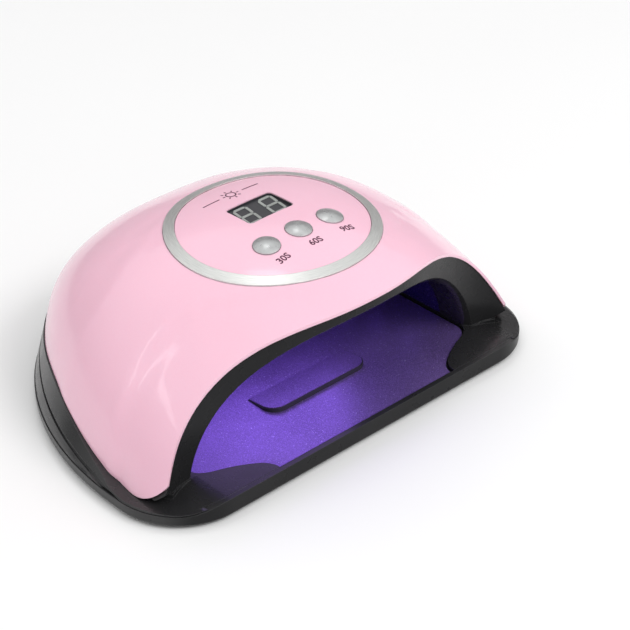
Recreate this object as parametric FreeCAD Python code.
import FreeCAD, Part

import math
import os

# Nail lamp: a domed housing with a hand tunnel, standing on a magnetic tray.
# Millimetres, +Z up, +X to the right of someone facing the tunnel mouth, which opens towards -Y.
# Everything is laid out around the centre of the round control panel, on the ground plane.
# save() then shifts each piece so that the origin is the centre of the tray's footprint.

V = FreeCAD.Vector
os.makedirs("parts", exist_ok=True)

# ---- Driving dimensions -----------------------------------------------------------------
# Tray footprint: straight front, round front corners, half an ellipse behind.
TRAY_HALF = 111.0
TRAY_FRONT = -62.6
TRAY_CORNER = 32.0
TRAY_WIDEST = -24.0
TRAY_BACK = 106.0
CENTRE_SHIFT = -(TRAY_FRONT + TRAY_BACK) / 2

# Heights above the ground.
FOOT = 1.0
RIM = 6.0
LIP = 9.4
LIP_WIDTH = 2.4
LIP_END = -32.0
DECK = 2.4
PLATFORM = 7.4
SHEET = 0.5

# Pink shell: section half-width and crown height along Y, and how square the shoulders are.
SHELL_HALF = 105.0
SHELL_WIDEST = -22.3
SHELL_REAR = 126.0
CROWN = 81.7
CROWN_REACH = 100.9
CROWN_POWER = 2.2
SHOULDER_START = -64.0
SHOULDER_SPAN = 154.0
WALL = 3.0
EDGE_WALL = 1.2

TIP_FLARE = 3.9                  # how far the two front tips turn out to meet the skirt
TIP_RADIUS = 17.0                # rounding of the two front tips, seen from the side
TIP_MARGIN = 1.8                 # black edge that shows below the rounded tips
EDGE_LOW = 6.8                   # height of the shell's lower edge at the front tips
EDGE_RISE = 17.7                 # how much higher it is at the back

# Soft steps in the shell: the visor band in front of the panel, a fainter crease behind it.
VISOR_STEP = 0.9
VISOR_BLEND = 5.0
REAR_CREASE = 28.5
REAR_STEP = 0.4
REAR_BLEND = 4.0

# Black housing: floor plate, plateau in front of the mouth, groove that climbs round the skirt.
PLATE_TOP = 9.1
PLATEAU_LOW = 6.6
PLATEAU_HIGH = 9.2
SKIRT_WALL = 3.0
GROOVE = 1.3
GROOVE_DEPTH = 0.9
GROOVE_HEIGHT = 9.1              # level of the groove beside the panel's centre
GROOVE_SLOPE = 6.8               # degrees it climbs towards the back

# Mouth: a vertical wall whose plan bows forward in the middle.
MOUTH_FRONT = -59.4
MOUTH_BOW = 17.8
MOUTH_REACH = 84.0
BEZEL_BACK = 0.8                 # black bezel behind the shell's edge
BEZEL = 3.2                      # its thickness
FLARE = 3.0                      # how far the bell mouth opens out of the tunnel
FLARE_DEPTH = 4.0                # over what depth
FLARE_EXTRA = 0.4                # share of FLARE it still gains in front of the bezel
COLLAR = 2.0                     # wall of the collar that leads from the bezel to the lining
CORNER_BLOCK_BACK = -31.0
CORNER_BLOCK_TOP = 26.0

# Hand tunnel.
TUNNEL_HALF = 81.0
TUNNEL_HEIGHT = 59.5
TUNNEL_BACK = 84.0
OPENING_LEDGE = 0.6
LINER_START = -23.8
LINER = 1.4

# Lamp beads: rows across the tunnel, each on its own flexible board.
LAMP_ROWS = [-12.0, 8.0, 28.0, 47.0]
LAMPS_PER_ROW = 8
LAMP_R = 2.9
LAMP_LOWEST = 17.0
BOARD_STRIP = 9.0
SENSORS = [(-5.0, -32.0), (5.0, -32.0)]
SENSOR_R = 2.5

# Finger rest on the tray's floor: a low wedge under the fingertips.
REST_HALF = 28.5
REST_FRONT = -31.0
REST_BACK = -15.0
REST_HEIGHT = 2.6
REST_CORNER = 7.0

# Control panel.
RING_X = 47.2
RING_Y = 44.8
RING_BAND = 4.8
PANEL = 1.6
BUTTON_R = 5.8
BUTTON_DOME = 12.5               # radius of a button's domed top
BUTTON_PROUD = 1.8
BUTTON_PITCH = 17.9
BUTTON_Y = -15.5
WINDOW_X = 25.0
WINDOW_Y = 16.2
WINDOW_CENTRE = 8.3

# The two seven-segment figures behind the window.
DIGIT_TOP = 79.85
DIGIT_TALL = 12.2
DIGIT_WIDE = 6.6
DIGIT_BAR = 1.3
DIGIT_LEAN = 7.0
DIGIT_PITCH = 14.0
DISPLAY_RIM = 0.35

# Circuit board under the panel.
BOARD_X = 36.0
BOARD_Y = 26.0
BOARD_TOP = 68.2
BOARD = 1.6
BOARD_SCREWS = [(31.0, -20.0), (-31.0, -20.0), (31.0, 21.0), (-31.0, 21.0)]
SWITCH_TOP = BOARD_TOP + 3.4
PLUNGER_TOP = SWITCH_TOP + 1.0

# Socket for the supply's plug, low at the back.
JACK_Z = 14.6
JACK_FRONT = 102.2
JACK_BODY_Y = 99.0
JACK_LONG = 8.6
JACK_HALF = 4.6
JACK_NOSE_R = 4.35
JACK_BORE_R = 2.85

# Magnets, feet and the screws that join shell and housing.
MAGNETS = [(94.8, -14.0), (-94.8, -14.0), (58.0, 76.0), (-58.0, 76.0)]
MAGNET_R = 4.0
MAGNET_THICK = 2.0
STRIKER_THICK = 1.0
FEET = [(84.0, -36.0), (-84.0, -36.0), (92.0, 22.0), (-92.0, 22.0), (42.0, 84.0), (-42.0, 84.0)]
FOOT_R = 6.0
SCREWS = [(91.0, 16.0), (-91.0, 16.0), (36.0, 86.0), (-36.0, 86.0)]
SCREW_HEAD_R = 2.9
SCREW_SHANK_R = 1.4
BOSS_TOP = 10.8

GAP = 0.2                        # clearance between neighbouring pieces
FAR = 300.0                      # beyond everything


# ---- Formulas ---------------------------------------------------------------------------
def smooth(t):
    t = min(max(t, 0.0), 1.0)
    return t * t * (3 - 2 * t)


def tray_half_width(y, inset=0.0):
    """Half-width of the footprint at y, with the outline moved in by inset."""
    half = TRAY_HALF - inset
    if y >= TRAY_WIDEST:
        return half * math.sqrt(max(1 - ((y - TRAY_WIDEST) / (TRAY_BACK - inset - TRAY_WIDEST)) ** 2, 0))
    corner_y = TRAY_FRONT + TRAY_CORNER
    drop = max(corner_y - y, 0.0)
    radius = TRAY_CORNER - inset
    return half - radius + math.sqrt(max(radius ** 2 - drop ** 2, 0))


def mouth_y(x):
    """Plan of the mouth: furthest forward in the middle, curling forward again at the tips."""
    across = min(abs(x), MOUTH_REACH) / MOUTH_REACH
    bow = MOUTH_BOW * math.sin(across * math.pi / 2) ** 2.2
    curl = 0.0125 * min(max(abs(x) - 80.0, 0.0), 24.0) ** 2
    return MOUTH_FRONT + bow - curl


def visor_y(x):
    """Plan of the crease that bounds the visor band."""
    return mouth_y(x) + 8.0 + 22.0 * smooth(abs(x) / 75.0)


def rear_step(x, y):
    """Depth of the shallow step behind the control panel, which dies out towards the middle."""
    crease = REAR_CREASE + 7.5 * smooth((70.0 - abs(x)) / 40.0)
    return REAR_STEP * smooth((abs(x) - 20.0) / 20.0) * smooth((y - crease) / REAR_BLEND + 0.5)


def shell_edge(y):
    """Height of the pink shell's lower edge: low at the front tips, high at the back."""
    return EDGE_LOW + EDGE_RISE * smooth((y + 33.0) / 80.0)


def shell_sizes(y, inset):
    """Half-width, height and the two shoulder exponents of the shell's section at y."""
    behind = max(y - SHELL_WIDEST, 0.0)
    half = (SHELL_HALF - inset) * math.sqrt(max(1 - (behind / (SHELL_REAR - inset)) ** 2, 0))
    reach = min(abs(y) / (CROWN_REACH - inset), 1.0)
    height = (CROWN - inset) * (1 - reach ** CROWN_POWER) ** (1 / CROWN_POWER)
    along = min(max((y - SHOULDER_START) / SHOULDER_SPAN, 0.0), 1.0)
    return half, height, 2 + 0.64 * along, 0.765 - 0.51 * along ** 0.73


def shell_point(y, s, inset=0.0):
    """Point of the section at y; s runs from -1 at the left ground edge to +1 at the right."""
    half, height, m, p = shell_sizes(y, inset)
    x = half * s
    z = height * max(1 - abs(s) ** m, 0.0) ** p
    tip_flare = TIP_FLARE * smooth((-5.0 - y) / 35.0) * max(1 - z / 20.0, 0.0) ** 2
    return x + math.copysign(tip_flare, s), z


def shell_height(x, y):
    half, height, m, p = shell_sizes(y, 0.0)
    return height * max(1 - abs(x / half) ** m, 0.0) ** p


def outer_point(y, s):
    """Outside of the pink shell, stepped down in front of the visor and behind the rear crease."""
    x, z = shell_point(y, s)
    step = VISOR_STEP * smooth((visor_y(x) - y) / VISOR_BLEND + 0.5)
    return shell_point(y, s, step + rear_step(x, y))


def inner_point(y, s, extra=0.0):
    """Inside of the pink shell, which thins towards the mouth."""
    x, z = shell_point(y, s, WALL)
    wall = EDGE_WALL + VISOR_STEP + (WALL - EDGE_WALL - VISOR_STEP) * smooth((y - mouth_y(x)) / 12.0)
    return shell_point(y, s, wall + extra)


def tunnel_point(y, s, offset=0.0):
    """Section of the hand tunnel, closed by a round end at the back."""
    start = 10.0
    deep = min(max(y - start, 0.0) / (TUNNEL_BACK + offset - start), 1.0)
    half = (TUNNEL_HALF + offset) * math.sqrt(1 - deep ** 2)
    fall = min(max(y + start, 0.0) / (TUNNEL_BACK + offset + start), 1.0)
    height = (TUNNEL_HEIGHT + offset) * (1 - fall ** 2.2) ** (1 / 2.2)
    return half * s, height * math.sqrt(max(1 - abs(s) ** 2.2, 0.0))


def flare_point(y, s):
    """Bell mouth: the tunnel opens out by FLARE over its first few millimetres."""
    x, z = tunnel_point(y, s)
    depth = y - mouth_y(x) - BEZEL_BACK
    if depth > 0:
        open_by = FLARE * (1 - min(depth / FLARE_DEPTH, 1.0)) ** 2
    else:
        open_by = FLARE * (1 + FLARE_EXTRA * (1 - math.exp(2 * depth / (FLARE_DEPTH * FLARE_EXTRA))))
    return tunnel_point(y, s, open_by)


# ---- Solid builders ---------------------------------------------------------------------
def even_row(section, y, count):
    """Points of one section, spread evenly along its length."""
    fine = 600
    line = [section(y, -math.cos(math.pi * i / fine)) for i in range(fine + 1)]
    run = [0.0]
    for a, b in zip(line, line[1:]):
        run.append(run[-1] + math.hypot(b[0] - a[0], b[1] - a[1]))
    row = []
    k = 0
    for i in range(count):
        target = run[-1] * i / (count - 1)
        while k < fine - 1 and run[k + 1] < target:
            k += 1
        t = (target - run[k]) / (run[k + 1] - run[k])
        x = line[k][0] + (line[k + 1][0] - line[k][0]) * t
        z = line[k][1] + (line[k + 1][1] - line[k][1]) * t
        row.append(V(x, y, max(z, 0.0)))
    return row


def dome(section, stations, count=33):
    """Solid under a skin that runs through the sections at the given stations."""
    rows = [even_row(section, y, count) for y in stations]
    skin = Part.BSplineSurface()
    skin.interpolate(rows)
    face = skin.toShape()
    front = min(face.Edges, key=lambda e: e.CenterOfMass.y)
    back = max(face.Edges, key=lambda e: e.CenterOfMass.y)
    sides = [e for e in face.Edges if not e.isSame(front) and not e.isSame(back)]
    front_line = Part.makeLine(rows[0][0], rows[0][-1])
    back_line = Part.makeLine(rows[-1][0], rows[-1][-1])
    ground = Part.Face(Part.Wire(Part.__sortEdges__(sides + [front_line, back_line])))
    ends = [Part.Face(Part.Wire([front, front_line])), Part.Face(Part.Wire([back, back_line]))]
    shell = Part.makeShell([face, ground] + ends)
    shell.sewShape()
    solid = Part.Solid(shell)
    if solid.Volume < 0:
        solid.reverse()
    return solid


def stations(reach, front, count, end_angle=83.0):
    """Section positions that crowd together where the dome turns down at the back."""
    first = math.asin(front / reach)
    last = math.radians(end_angle)
    return [reach * math.sin(first + (last - first) * i / (count - 1)) for i in range(count)]


def prism(wire, z0, z1):
    solid = Part.Face(wire).extrude(V(0, 0, z1 - z0))
    solid.translate(V(0, 0, z0 - wire.BoundBox.ZMin))
    return solid


def box(x0, x1, y0, y1, z0, z1):
    return Part.makeBox(x1 - x0, y1 - y0, z1 - z0, V(x0, y0, z0))


def disc(x, y, radius, z0, z1):
    return Part.makeCylinder(radius, z1 - z0, V(x, y, z0))


def curve_edge(points):
    curve = Part.BSplineCurve()
    curve.interpolate(points)
    return curve.toShape()


def tray_outline(inset):
    """Closed footprint outline moved in by inset."""
    half = TRAY_HALF - inset
    front = TRAY_FRONT + inset
    radius = TRAY_CORNER - inset
    corner_y = front + radius
    bend = radius * math.sqrt(0.5)
    cx = half - radius
    rear = Part.Ellipse(V(0, TRAY_BACK - inset, 0), V(half, TRAY_WIDEST, 0), V(0, TRAY_WIDEST, 0))
    rear_edge = Part.ArcOfEllipse(rear, -math.pi / 2, math.pi / 2).toShape()
    right = Part.Arc(V(cx, front, 0), V(cx + bend, corner_y - bend, 0), V(half, corner_y, 0)).toShape()
    left = Part.Arc(V(-half, corner_y, 0), V(-cx - bend, corner_y - bend, 0), V(-cx, front, 0)).toShape()
    sides = [
        Part.makeLine(V(half, corner_y, 0), V(half, TRAY_WIDEST, 0)),
        Part.makeLine(V(-half, TRAY_WIDEST, 0), V(-half, corner_y, 0)),
        Part.makeLine(V(-cx, front, 0), V(cx, front, 0)),
    ]
    return Part.Wire(Part.__sortEdges__([rear_edge, right, left] + sides))


def oval(rx, ry):
    ellipse = Part.Ellipse(V(rx, 0, 0), V(0, ry, 0), V(0, 0, 0))
    return Part.Wire(ellipse.toShape())


def ahead_of_mouth(back_by=0.0):
    """Everything in front of the mouth's wall."""
    span = TRAY_HALF + 20.0
    xs = [span * (i / 14 - 1) for i in range(29)]
    wall = curve_edge([V(x, mouth_y(x) + back_by, 0) for x in xs])
    a, b = wall.Vertexes[0].Point, wall.Vertexes[-1].Point
    far_a, far_b = V(a.x, -FAR, 0), V(b.x, -FAR, 0)
    lines = [Part.makeLine(b, far_b), Part.makeLine(far_b, far_a), Part.makeLine(far_a, a)]
    return prism(Part.Wire([wall] + lines), -10.0, 150.0)


def side_profile_block(edges, start, end):
    """Everything under a line seen from the side that runs from start to end, over the full width."""
    corners = [end, V(end.x, end.y, -20), V(start.x, start.y, -20), start]
    closing = [Part.makeLine(a, b) for a, b in zip(corners, corners[1:])]
    return Part.Face(Part.Wire(Part.__sortEdges__(edges + closing))).extrude(V(2 * FAR, 0, 0))


def below_line(height):
    """Everything under the line that has the given height at each y."""
    points = [V(-FAR, y, height(y)) for y in range(-70, 120, 10)]
    return side_profile_block([curve_edge(points)], points[0], points[-1])


def below_shell(drop=0.0):
    """Everything under the shell's lower edge, lowered by drop, with its two front tips rounded off."""
    front = mouth_y(SHELL_HALF) + 0.6
    centre_y, centre_z = front + TIP_RADIUS, EDGE_LOW + TIP_RADIUS
    radius = TIP_RADIUS + drop
    bend = radius * math.sqrt(0.5)
    ahead = V(-FAR, front - 20, centre_z)
    top, bottom = V(-FAR, centre_y - radius, centre_z), V(-FAR, centre_y, centre_z - radius)
    arc = Part.Arc(top, V(-FAR, centre_y - bend, centre_z - bend), bottom).toShape()
    points = [bottom] + [V(-FAR, y, shell_edge(y) - drop) for y in range(-22, 120, 10)]
    return side_profile_block([Part.makeLine(ahead, top), arc, curve_edge(points)], ahead, points[-1])


def mouth_opening(inset):
    """Plan of the hole in the housing's floor plate, narrowing towards the front lip."""
    half = TUNNEL_HALF - OPENING_LEDGE - inset
    straight = 10.0
    rear = Part.Ellipse(V(half, straight, 0), V(0, TUNNEL_BACK - OPENING_LEDGE - inset, 0), V(0, straight, 0))
    run = [(0.0, -36.0), (2.5, -41.0), (12.0, -45.5), (22.0, -50.5), (27.0, -54.5), (29.0, -60.0)]
    right = [V(half - x, y, 0) for x, y in run]
    left = [V(-p.x, p.y, 0) for p in reversed(right)]
    front = TRAY_FRONT - 5.0
    corners = [V(right[-1].x, front, 0), V(left[0].x, front, 0)]
    edges = [
        Part.ArcOfEllipse(rear, 0, math.pi).toShape(),
        Part.makeLine(V(half, straight, 0), right[0]),
        curve_edge(right),
        Part.makeLine(right[-1], corners[0]),
        Part.makeLine(corners[0], corners[1]),
        Part.makeLine(corners[1], left[0]),
        curve_edge(left),
        Part.makeLine(left[-1], V(-half, straight, 0)),
    ]
    return Part.Wire(Part.__sortEdges__(edges))


def on_panel(x, y):
    """Frame of the dome's surface at (x, y): the point and the outward normal."""
    d = 0.5
    slope_x = (shell_height(x + d, y) - shell_height(x - d, y)) / (2 * d)
    slope_y = (shell_height(x, y + d) - shell_height(x, y - d)) / (2 * d)
    return V(x, y, shell_height(x, y)), V(-slope_x, -slope_y, 1).normalize()


def along(shape, point, normal):
    """Stand a shape built along +Z at the origin on a point, facing along normal."""
    turned = shape.copy()
    turned.Placement = FreeCAD.Placement(point, FreeCAD.Rotation(V(0, 0, 1), normal))
    return turned


def fuse_all(shapes):
    whole = shapes[0]
    for shape in shapes[1:]:
        whole = whole.fuse(shape)
    return whole


def cut_all(shape, tools):
    for tool in tools:
        shape = shape.cut(tool)
    return shape


def save(node, shape):
    placed = shape.copy()
    placed.translate(V(0, CENTRE_SHIFT, 0))
    placed.exportStep(f"parts/{node}.step")
    print(node, "solids", len(placed.Solids), "valid", placed.isValid(), "volume", round(placed.Volume))


# ---- Shared skins -----------------------------------------------------------------------
SHELL_STATIONS = stations(CROWN_REACH, -70.0, 45)
OUTER = dome(outer_point, SHELL_STATIONS, 57)
INNER = dome(inner_point, stations(CROWN_REACH - WALL, -70.0, 41), 45)
AHEAD = ahead_of_mouth()


def panel_skin(offset):
    """The dome's own surface under the control panel, raised by offset."""
    ys = [-60.0 + 10.0 * i for i in range(13)]
    return dome(lambda y, s: shell_point(y, s, -offset), ys, 25)


PANEL_TOP = panel_skin(0.0)
PANEL_UNDER = panel_skin(-PANEL)
BUTTONS = {"30s": -BUTTON_PITCH, "60s": 0.0, "90s": BUTTON_PITCH}


def tunnel_skin(offset):
    end = TUNNEL_BACK + offset
    return dome(lambda y, s: tunnel_point(y, s, offset), stations(end, -64.0, 31, 86.0), 33)


# ---- Tray -------------------------------------------------------------------------------
def above_rim(low, high):
    """Everything over the rim line: level at the sides, rising from low to high across the front."""
    sky = 30.0
    slope = [V(100.0 - t, -FAR, low + (high - low) * smooth(t / 20.0)) for t in (0.0, 5.0, 10.0, 15.0, 20.0)]
    left = [V(-p.x, p.y, p.z) for p in reversed(slope)]
    corners = [V(FAR, -FAR, low), V(FAR, -FAR, sky), V(-FAR, -FAR, sky), V(-FAR, -FAR, low)]
    edges = [curve_edge(slope), Part.makeLine(slope[-1], left[0]), curve_edge(left)]
    edges += [Part.makeLine(left[-1], corners[3]), Part.makeLine(corners[3], corners[2])]
    edges += [Part.makeLine(corners[2], corners[1]), Part.makeLine(corners[1], corners[0])]
    edges += [Part.makeLine(corners[0], slope[0])]
    front = Part.Face(Part.Wire(Part.__sortEdges__(edges))).extrude(V(0, FAR + LIP_END, 0))
    return front.fuse(box(-FAR, FAR, LIP_END, FAR, low, sky)).removeSplitter()


def front_lip(clearance):
    """The space the raised front wall needs, with some clearance round it."""
    wall = prism(tray_outline(-1.0), RIM - 1, LIP + 2).cut(prism(tray_outline(LIP_WIDTH + clearance), 0, 20))
    return wall.common(box(-FAR, FAR, -FAR, LIP_END, 0, 20)).cut(above_rim(RIM + clearance, LIP + clearance))


def base_tray():
    body = prism(tray_outline(0.0), FOOT, LIP)
    floor = prism(tray_outline(LIP_WIDTH), RIM, LIP + 5)
    body = body.cut(floor).cut(above_rim(RIM, LIP))
    rounded = [e for e in body.Edges if abs(e.BoundBox.ZMax - FOOT) < 0.01]
    body = body.makeFillet(1.8, rounded)
    platform = prism(mouth_opening(0.5), RIM - 1.0, PLATFORM)
    body = body.fuse(platform.common(prism(tray_outline(LIP_WIDTH / 2), 0, 20)))
    body = body.cut(prism(tray_outline(3.4), FOOT - 1, RIM - DECK))
    ribs = [box(-FAR, FAR, y - 0.8, y + 0.8, FOOT + 0.6, RIM - 1.0) for y in (-30.0, 15.0, 60.0)]
    ribs += [box(x - 0.8, x + 0.8, -FAR, FAR, FOOT + 0.6, RIM - 1.0) for x in (-60.0, 0.0, 60.0)]
    inside = prism(tray_outline(3.0), FOOT, RIM - 0.5)
    body = body.fuse(fuse_all(ribs).common(inside))
    pads = [disc(x, y, FOOT_R + 2.0, FOOT, RIM - 1.0) for x, y in FEET]
    pads += [disc(x, y, MAGNET_R + 2.5, FOOT + 0.6, RIM - 1.0) for x, y in MAGNETS]
    body = body.fuse(fuse_all(pads).common(inside))
    sockets = [disc(x, y, FOOT_R + 0.1, FOOT - 1, FOOT + 0.8) for x, y in FEET]
    sockets += [disc(x, y, MAGNET_R + 0.1, RIM - STRIKER_THICK - 0.1, RIM + 1) for x, y in MAGNETS]
    return body.cut(fuse_all(sockets)).removeSplitter()


def rubber_feet():
    pads = []
    for x, y in FEET:
        pad = disc(x, y, FOOT_R, 0.0, FOOT + 0.75)
        lower = [e for e in pad.Edges if e.CenterOfMass.z < 0.01]
        pads.append(pad.makeFillet(0.6, lower))
    return Part.makeCompound(pads)


def tray_strikers():
    top = RIM - 0.05
    return Part.makeCompound([disc(x, y, MAGNET_R, top - STRIKER_THICK, top) for x, y in MAGNETS])


def rest_block(inset, z0):
    """Low wedge under the fingertips: full height in front, running out to nothing behind."""
    block = box(-REST_HALF + inset, REST_HALF - inset, REST_FRONT + inset, REST_BACK, z0, z0 + REST_HEIGHT)
    corners = [e for e in block.Edges if abs(e.Vertexes[0].Z - e.Vertexes[-1].Z) > 1
               and e.CenterOfMass.y < REST_FRONT + inset + 0.1]
    return block.makeFillet(REST_CORNER - inset, corners)


def rest_slope(drop):
    """Everything above the sloping top of the finger rest."""
    z = PLATFORM + SHEET
    front = V(-FAR, REST_FRONT - 1, z + REST_HEIGHT - drop)
    back = V(-FAR, REST_BACK + 1, z + 0.5 - drop)
    wire = Part.makePolygon([front, back, V(-FAR, back.y, 40), V(-FAR, front.y, 40), front])
    return Part.Face(wire).extrude(V(2 * FAR, 0, 0))


def finger_rest():
    return rest_block(0.0, PLATFORM + SHEET + 0.02).cut(rest_slope(0.45))


def finger_rest_foil():
    block = rest_block(0.5, PLATFORM + SHEET + 0.02)
    return block.cut(rest_slope(0.1)).common(rest_slope(0.43))


def floor_sheet():
    sheet = prism(mouth_opening(1.3), PLATFORM + 0.02, PLATFORM + SHEET)
    return sheet.common(prism(tray_outline(4.0), 0, 20))


# ---- Lower housing ----------------------------------------------------------------------
def shell_radius(angle, z):
    """Distance from the skirt's centre to the shell's outside at height z, by bisection."""
    low, high = 20.0, 140.0
    for _ in range(40):
        mid = (low + high) / 2
        x = mid * math.cos(angle)
        y = TRAY_WIDEST + mid * math.sin(angle)
        half = shell_sizes(y, 0.0)[0]
        inside = abs(x) < half and shell_height(x, y) > z
        low, high = (mid, high) if inside else (low, mid)
    return low


def tray_radius(angle, inset):
    low, high = 20.0, 160.0
    for _ in range(40):
        mid = (low + high) / 2
        x = mid * math.cos(angle)
        y = TRAY_WIDEST + mid * math.sin(angle)
        inside = y > TRAY_FRONT + inset and abs(x) < tray_half_width(y, inset)
        low, high = (mid, high) if inside else (low, mid)
    return low


def skirt_block(inset):
    """Black skirt: the tray's outline at the bottom, closing in to the shell at the shell's edge."""
    wires = []
    for z in (RIM + GAP, 8.5, 11.0, 14.0, 17.0, 20.0, 23.0, 27.0):
        points = []
        for i in range(72):
            angle = math.radians(5.0 * i)
            wide = tray_radius(angle, 0.4 + 0.1 * (z - RIM))
            shell = shell_radius(angle, z)
            y = TRAY_WIDEST + wide * math.sin(angle)
            closing = smooth((z - RIM) / (shell_edge(y) - RIM + 3.0))
            radius = min(wide, wide + (shell - wide) * closing) - inset
            points.append(V(radius * math.cos(angle), TRAY_WIDEST + radius * math.sin(angle), z))
        curve = Part.BSplineCurve()
        curve.interpolate(points, PeriodicFlag=True)
        wires.append(Part.Wire(curve.toShape()))
    return Part.makeLoft(wires, True)


def skirt_groove():
    """Groove round the skirt that climbs from the tray's rim at the sides to above the socket at the back."""
    slab = box(-FAR, FAR, -FAR, FAR, -GROOVE / 2, GROOVE / 2)
    slab.rotate(V(0, 0, 0), V(1, 0, 0), GROOVE_SLOPE)
    slab.translate(V(0, 0, GROOVE_HEIGHT))
    return slab.cut(skirt_block(GROOVE_DEPTH))


def mouth_bezel(room):
    """Black face round the mouth: a curved plate out to the shell, a short collar and two corner blocks."""
    above_plate = PLATE_TOP - 1.0
    front = box(-FAR, FAR, -FAR, LINER_START - GAP, above_plate, 90)
    plate = room.common(ahead_of_mouth(BEZEL_BACK + BEZEL)).cut(ahead_of_mouth(BEZEL_BACK)).common(front)
    stops = [-68.0 + 4.0 * i for i in range(13)]
    collar = dome(lambda y, s: tunnel_point(y, s, COLLAR), stops, 41)
    collar = collar.common(front).cut(ahead_of_mouth(BEZEL_BACK + 1.0))
    beside = TUNNEL_HALF + COLLAR + 0.5
    blocks = box(-FAR, FAR, -FAR, CORNER_BLOCK_BACK, above_plate, CORNER_BLOCK_TOP)
    blocks = blocks.cut(box(-beside, beside, -FAR, FAR, 0, 90))
    blocks = room.common(blocks).cut(ahead_of_mouth(BEZEL_BACK + 0.7))
    bell_stops = [-68.0 + 1.2 * i for i in range(38)]
    bell = dome(flare_point, bell_stops, 41)
    return fuse_all([plate, collar, blocks]).cut(bell).cut(below_shell(TIP_MARGIN))


def lower_housing():
    room = dome(lambda y, s: inner_point(y, s, GAP), SHELL_STATIONS, 45)
    hollow = skirt_block(SKIRT_WALL).common(box(-FAR, FAR, -FAR, FAR, PLATE_TOP, 40))
    hollow = hollow.cut(ahead_of_mouth(SKIRT_WALL))
    rim = skirt_block(0.0).common(below_line(lambda y: shell_edge(y) - GAP))
    rim = rim.cut(hollow).cut(skirt_groove())
    plate = prism(tray_outline(11.0), RIM + GAP, PLATE_TOP).cut(AHEAD)
    corners = skirt_block(0.0).common(ahead_of_mouth(0.6)).cut(above_rim(PLATEAU_LOW, PLATEAU_HIGH))
    bezel = mouth_bezel(room)
    bosses = [disc(x, y, MAGNET_R + 1.4, RIM + GAP, BOSS_TOP) for x, y in MAGNETS]
    bosses += [disc(x, y, SCREW_HEAD_R + 2.1, RIM + GAP, BOSS_TOP) for x, y in SCREWS]
    body = fuse_all([rim, plate, corners, bezel] + bosses)
    body = body.cut(prism(mouth_opening(0.0), RIM - 1, PLATE_TOP + 2))
    body = body.cut(front_lip(GAP))
    holes = [disc(x, y, MAGNET_R + 0.1, RIM - 1, RIM + GAP + MAGNET_THICK + 0.1) for x, y in MAGNETS]
    holes += [disc(x, y, SCREW_HEAD_R + GAP, RIM - 1, RIM + GAP + 2.2) for x, y in SCREWS]
    holes += [disc(x, y, SCREW_SHANK_R + 0.3, RIM - 1, 12.0) for x, y in SCREWS]
    holes += [disc(x, y, SENSOR_R, 50.0, 70.0) for x, y in SENSORS]
    return cut_all(body, holes + jack_pocket() + vents())


def jack_pocket():
    """Round hole in the back wall for the socket's nose and a pocket for its square body."""
    half = JACK_HALF + GAP
    nose = Part.makeCylinder(JACK_NOSE_R + 0.15, 30, V(0, JACK_BODY_Y - 10, JACK_Z), V(0, 1, 0))
    pocket = box(-half, half, JACK_BODY_Y - 12, JACK_BODY_Y + GAP, PLATE_TOP + 0.05, JACK_Z + 5.8)
    return [nose, pocket]


def vents():
    """Upright cooling slots in the back wall, on both sides of the socket."""
    centres = [side * (14.0 + 5.0 * i) for side in (-1, 1) for i in range(5)]
    return [box(x - 1.1, x + 1.1, 92.0, 120.0, 11.5, 19.0) for x in centres]


# ---- Hand tunnel lining and lamps -------------------------------------------------------
def lamp_frames():
    """Point on the lining's inside and the direction away from the hand, lamp by lamp."""
    frames = []
    for y in LAMP_ROWS:
        row = even_row(tunnel_point, y, 101)
        above = [i for i, p in enumerate(row) if p.z > LAMP_LOWEST]
        first, last = above[0], above[-1]
        for k in range(LAMPS_PER_ROW):
            i = round(first + (last - first) * (k + 0.5) / LAMPS_PER_ROW)
            across = (row[i + 1] - row[i - 1]).normalize()
            ahead = even_row(tunnel_point, y + 1.0, 101)[i] - even_row(tunnel_point, y - 1.0, 101)[i]
            normal = ahead.cross(across).normalize()
            if normal.dot(row[i] - V(0, y, 0)) < 0:
                normal = normal * -1
            frames.append((row[i], normal))
    return frames


LAMPS = lamp_frames()


def reflector_liner():
    shell = tunnel_skin(LINER).cut(tunnel_skin(0.0))
    shell = shell.common(box(-FAR, FAR, LINER_START, FAR, PLATE_TOP + GAP, 90))
    hole = Part.makeCylinder(LAMP_R + 0.15, 8, V(0, 0, -4))
    return cut_all(shell, [along(hole, p, n) for p, n in LAMPS])


def lamp_bead():
    body = Part.makeCylinder(LAMP_R, 1.7, V(0, 0, 0.2))
    lens = Part.makeSphere(3.6, V(0, 0, 2.2)).common(Part.makeCylinder(LAMP_R - 0.4, 3, V(0, 0, -2.5)))
    return body.fuse(lens).removeSplitter()


def led_beads():
    bead = lamp_bead()
    return Part.makeCompound([along(bead, p, n) for p, n in LAMPS])


def led_board(outer, inner, y):
    strip = outer.cut(inner)
    return strip.common(box(-FAR, FAR, y - BOARD_STRIP / 2, y + BOARD_STRIP / 2, 12.0, 90))


def led_bus_cable():
    band = tunnel_skin(4.1).cut(tunnel_skin(3.5))
    return band.common(box(14.0, 22.0, LAMP_ROWS[0], LAMP_ROWS[-1], 20, 90))


def ir_sensor():
    eyes = []
    for x, y in SENSORS:
        ceiling = tunnel_point(y, 0.0)[1]
        eye = disc(x, y, SENSOR_R - 0.08, ceiling - 0.9, ceiling + 4.0)
        eyes.append(eye.makeFillet(0.8, [e for e in eye.Edges if e.CenterOfMass.z < ceiling]))
    return Part.makeCompound(eyes)


# ---- Control panel ----------------------------------------------------------------------
def window_prism(grow, z0, z1):
    half_x = WINDOW_X / 2 + grow
    half_y = WINDOW_Y / 2 + grow
    block = box(-half_x, half_x, WINDOW_CENTRE - half_y, WINDOW_CENTRE + half_y, z0, z1)
    return block.makeFillet(2.0 + grow, [e for e in block.Edges if e.BoundBox.ZLength > 0.01])


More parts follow.
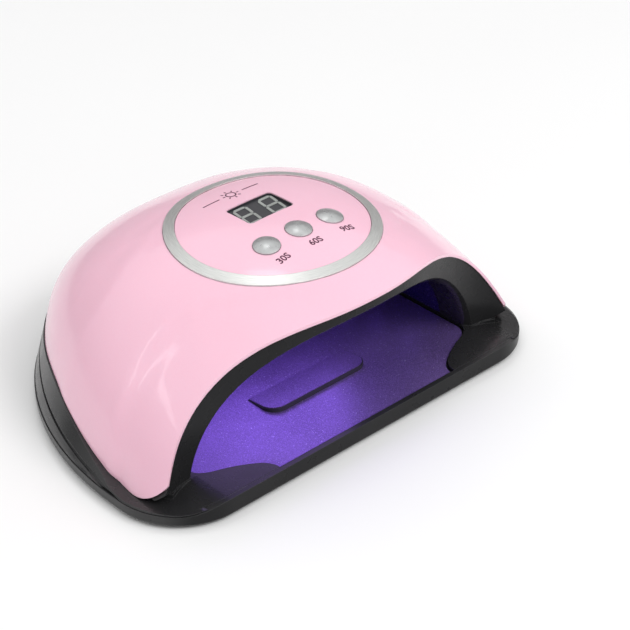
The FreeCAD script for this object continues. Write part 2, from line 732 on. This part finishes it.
def button_axis(x):
    return on_panel(x, BUTTON_Y)


def control_panel():
    edge = 0.15 + RING_BAND
    plate = PANEL_TOP.cut(PANEL_UNDER).common(prism(oval(RING_X - edge, RING_Y - edge), 60, 100))
    plate = plate.cut(window_prism(0.0, 60, 100))
    hole = Part.makeCylinder(BUTTON_R + 0.12, 10, V(0, 0, -5))
    return plate.cut(fuse_all([along(hole, *button_axis(x)) for x in BUTTONS.values()]))


def control_ring():
    band = panel_skin(0.5).cut(PANEL_UNDER)
    band = band.common(prism(oval(RING_X, RING_Y), 60, 100))
    return band.cut(prism(oval(RING_X - RING_BAND, RING_Y - RING_BAND), 50, 110))


def dome_inside(inset):
    """The dome moved in by inset: what the screw legs may fill."""
    return dome(lambda y, s: shell_point(y, s, inset), stations(CROWN_REACH - inset, -70.0, 31), 33)


def top_cover():
    """Pink shell with the panel's recess, its screw posts and the wells round the buttons."""
    recess = panel_skin(2.0).cut(panel_skin(-PANEL - 0.1))
    recess = recess.common(prism(oval(RING_X + 0.1, RING_Y + 0.1), 60, 100))
    shell = cut_all(OUTER.cut(INNER), [AHEAD, below_shell(), recess])
    post_area = OUTER.common(panel_skin(-PANEL - 0.6))
    posts = fuse_all([disc(x, y, 3.0, BOARD_TOP + 0.05, 90) for x, y in BOARD_SCREWS]).common(post_area)
    legs = fuse_all([disc(x, y, 3.8, 11.0, 60) for x, y in SCREWS]).common(dome_inside(1.5))
    shell = fuse_all([shell, posts, legs])
    tools = [window_prism(0.15, 60, 100)]
    tools += [disc(x, y, 0.95, BOARD_TOP - 1, 73.0) for x, y in BOARD_SCREWS]
    tools += [disc(x, y, SCREW_SHANK_R + 0.1, 10.0, 20.0) for x, y in SCREWS]
    wide = Part.makeCylinder(BUTTON_R + 1.6, 8, V(0, 0, -7))
    tools += [along(wide, *button_axis(x)) for x in BUTTONS.values()]
    return cut_all(shell, tools)


def stem_end(x):
    """Where the button's axis meets the top of its switch."""
    point, normal = button_axis(x)
    return point - normal * ((point.z - PLUNGER_TOP) / normal.z)


def button_cap(x):
    point, normal = button_axis(x)
    length = (point.z - PLUNGER_TOP) / normal.z
    ball = Part.makeSphere(BUTTON_DOME, V(0, 0, BUTTON_PROUD - BUTTON_DOME))
    crown = ball.common(Part.makeCylinder(BUTTON_R, 6, V(0, 0, -PANEL - 0.6)))
    flange = Part.makeCylinder(BUTTON_R + 1.0, 0.9, V(0, 0, -PANEL - 1.25))
    stem = Part.makeCylinder(1.3, length - PANEL - 0.5, V(0, 0, -length + 0.28))
    cap = crown.fuse([flange, stem]).removeSplitter()
    return along(cap, point, normal)


def switch_bodies():
    blocks = []
    for x in BUTTONS.values():
        foot = stem_end(x)
        block = box(foot.x - 3, foot.x + 3, foot.y - 3, foot.y + 3, BOARD_TOP + 0.02, SWITCH_TOP)
        block = block.makeFillet(0.5, [e for e in block.Edges if abs(e.Vertexes[0].Z - e.Vertexes[-1].Z) > 1])
        blocks.append(block.cut(disc(foot.x, foot.y, 1.75, BOARD_TOP + 1.4, SWITCH_TOP + 1)))
    return Part.makeCompound(blocks)


def switch_plunger(x):
    foot = stem_end(x)
    return disc(foot.x, foot.y, 1.7, BOARD_TOP + 2.0, PLUNGER_TOP)


def display_module():
    """Dark block on the board, with a thin rim that lines the window."""
    block = window_prism(-0.15, BOARD_TOP + 0.02, 90).common(panel_skin(-0.35))
    return block.cut(window_prism(-0.15 - DISPLAY_RIM, DIGIT_TOP, 90))


def display_segments():
    """Two seven-segment figures, each leaning a little to the right."""
    tall, wide, bar = DIGIT_TALL, DIGIT_WIDE, DIGIT_BAR
    lean = math.tan(math.radians(DIGIT_LEAN))
    half = tall / 2
    cut_back = bar / 2 + 0.15
    level = [(0, half), (0, 0), (0, -half)]
    solids = []
    for centre in (-DIGIT_PITCH / 2, DIGIT_PITCH / 2):
        shapes = []
        for _, cy in level:
            y0, y1 = cy - bar / 2, cy + bar / 2
            reach = wide / 2 - cut_back
            tip = reach + bar / 2
            shapes.append([(-tip, cy), (-reach, y1), (reach, y1), (tip, cy), (reach, y0), (-reach, y0)])
        for side in (-1, 1):
            for cy in (-half / 2, half / 2):
                reach = half / 2 - cut_back
                mid = side * wide / 2
                x0, x1 = mid - bar / 2, mid + bar / 2
                y0, y1 = cy - reach, cy + reach
                tip = bar / 2
                shapes.append([(mid, y0 - tip), (x1, y0), (x1, y1), (mid, y1 + tip), (x0, y1), (x0, y0)])
        for outline in shapes:
            points = [V(centre + x + y * lean, WINDOW_CENTRE + y, DIGIT_TOP + 0.02) for x, y in outline]
            face = Part.Face(Part.makePolygon(points + [points[0]]))
            solids.append(face.extrude(V(0, 0, 0.25)))
    return Part.makeCompound(solids)


# ---- Electronics ------------------------------------------------------------------------
def control_board():
    board = box(-BOARD_X, BOARD_X, -BOARD_Y, BOARD_Y, BOARD_TOP - BOARD, BOARD_TOP)
    board = board.makeFillet(3.0, [e for e in board.Edges if abs(e.Length - BOARD) < 0.01])
    return board.cut(fuse_all([disc(x, y, 1.2, 60, 75) for x, y in BOARD_SCREWS]))


def machine_screw(x, y, head_z, head_r, head_h, shank_r, length):
    """Pan-head screw driven upwards, with a cross recess in its head."""
    head = disc(x, y, head_r, head_z, head_z + head_h)
    head = head.makeFillet(head_h * 0.4, [e for e in head.Edges if e.CenterOfMass.z < head_z + 0.01])
    shank = disc(x, y, shank_r, head_z + head_h, head_z + head_h + length)
    slot = head_r * 0.55
    width = head_r * 0.14
    cross = box(x - slot, x + slot, y - width, y + width, head_z - 1, head_z + head_h * 0.5)
    cross = cross.fuse(box(x - width, x + width, y - slot, y + slot, head_z - 1, head_z + head_h * 0.5))
    return head.fuse(shank).removeSplitter().cut(cross)


def board_screws():
    head_h = 1.2
    z = BOARD_TOP - BOARD - head_h - 0.02
    return Part.makeCompound([machine_screw(x, y, z, 2.1, head_h, 0.9, 5.4) for x, y in BOARD_SCREWS])


def housing_screws():
    sizes = (RIM + GAP + 0.4, SCREW_HEAD_R, 1.75, SCREW_SHANK_R, 10.0)
    return Part.makeCompound([machine_screw(x, y, *sizes) for x, y in SCREWS])


def control_chip():
    body = box(-27.0, -17.0, 3.0, 9.0, BOARD_TOP + 0.1, BOARD_TOP + 1.7)
    legs = []
    for i in range(8):
        x = -26.0 + 1.14 * i
        legs.append(box(x - 0.2, x + 0.2, 1.8, 3.2, BOARD_TOP + 0.02, BOARD_TOP + 0.4))
        legs.append(box(x - 0.2, x + 0.2, 8.8, 10.2, BOARD_TOP + 0.02, BOARD_TOP + 0.4))
    return fuse_all([body] + legs).removeSplitter()


def capacitors():
    cans = []
    for y in (-8.0, 1.0):
        can = disc(24.0, y, 3.2, BOARD_TOP + 0.02, BOARD_TOP + 5.4)
        cans.append(can.makeFillet(0.5, [e for e in can.Edges if e.CenterOfMass.z > BOARD_TOP + 5]))
    return Part.makeCompound(cans)


def power_inductor():
    core = box(20.0, 28.0, 7.0, 15.0, BOARD_TOP + 0.02, BOARD_TOP + 4.0)
    return core.makeFillet(1.8, [e for e in core.Edges if abs(e.Vertexes[0].Z - e.Vertexes[-1].Z) > 1])


def board_connector():
    block = box(3.0, 13.0, 20.5, 25.5, BOARD_TOP + 0.02, BOARD_TOP + 5.0)
    return block.cut(box(3.8, 12.2, 22.0, 26.0, BOARD_TOP + 1.0, BOARD_TOP + 4.2))


def dc_jack():
    body = box(-JACK_HALF, JACK_HALF, JACK_BODY_Y - JACK_LONG, JACK_BODY_Y, PLATE_TOP + 0.1, JACK_Z + 5.6)
    nose = Part.makeCylinder(JACK_NOSE_R, JACK_FRONT - JACK_BODY_Y, V(0, JACK_BODY_Y, JACK_Z), V(0, 1, 0))
    bore = Part.makeCylinder(JACK_BORE_R, 10.0, V(0, JACK_FRONT - 9.0, JACK_Z), V(0, 1, 0))
    return body.fuse(nose).removeSplitter().cut(bore)


def dc_jack_pin():
    return Part.makeCylinder(1.0, 8.0, V(0, JACK_FRONT - 8.98, JACK_Z), V(0, 1, 0))


def power_lead():
    """Lead from the socket over the back of the tunnel to the board's connector."""
    path = [V(2.0, JACK_BODY_Y - JACK_LONG - 1.5, 18.0)]
    for y in (84.0, 70.0, 52.0, 38.0):
        path.append(V(6.0, y, tunnel_point(y, 0.05, 6.5)[1] + 1.0))
    path += [V(7.6, 31.0, BOARD_TOP + 3.4), V(7.6, 26.6, BOARD_TOP + 2.7), V(7.6, 22.7, BOARD_TOP + 2.6)]
    spine = Part.Wire(curve_edge(path))
    start = spine.Edges[0]
    profile = Part.Wire(Part.makeCircle(1.3, path[0], start.tangentAt(start.FirstParameter)))
    return spine.makePipeShell([profile], True, False)


def housing_magnets():
    low = RIM + GAP + 0.02
    return Part.makeCompound([disc(x, y, MAGNET_R, low, low + MAGNET_THICK) for x, y in MAGNETS])


# ---- Write every piece ------------------------------------------------------------------
save("base_tray", base_tray())
save("rubber_feet", rubber_feet())
save("tray_strikers", tray_strikers())
save("floor_sheet", floor_sheet())
save("finger_rest", finger_rest())
save("finger_rest_foil", finger_rest_foil())
save("lower_housing", lower_housing())
save("housing_magnets", housing_magnets())
save("housing_screws", housing_screws())
save("reflector_liner", reflector_liner())
save("led_beads", led_beads())
BOARD_OUTER = tunnel_skin(3.3)
BOARD_INNER = tunnel_skin(2.05)
for number, row_y in enumerate(LAMP_ROWS, 1):
    save(f"led_board_{number}", led_board(BOARD_OUTER, BOARD_INNER, row_y))
save("led_bus_cable", led_bus_cable())
save("ir_sensor", ir_sensor())
save("top_cover", top_cover())
save("control_ring", control_ring())
save("control_panel", control_panel())
for name, button_x in BUTTONS.items():
    save(f"button_{name}", button_cap(button_x))
    save(f"switch_plunger_{name}", switch_plunger(button_x))
save("switch_bodies", switch_bodies())
save("display_module", display_module())
save("display_segments", display_segments())
save("control_board", control_board())
save("board_screws", board_screws())
save("control_chip", control_chip())
save("capacitors", capacitors())
save("power_inductor", power_inductor())
save("board_connector", board_connector())
save("dc_jack", dc_jack())
save("dc_jack_pin", dc_jack_pin())
save("power_lead", power_lead())
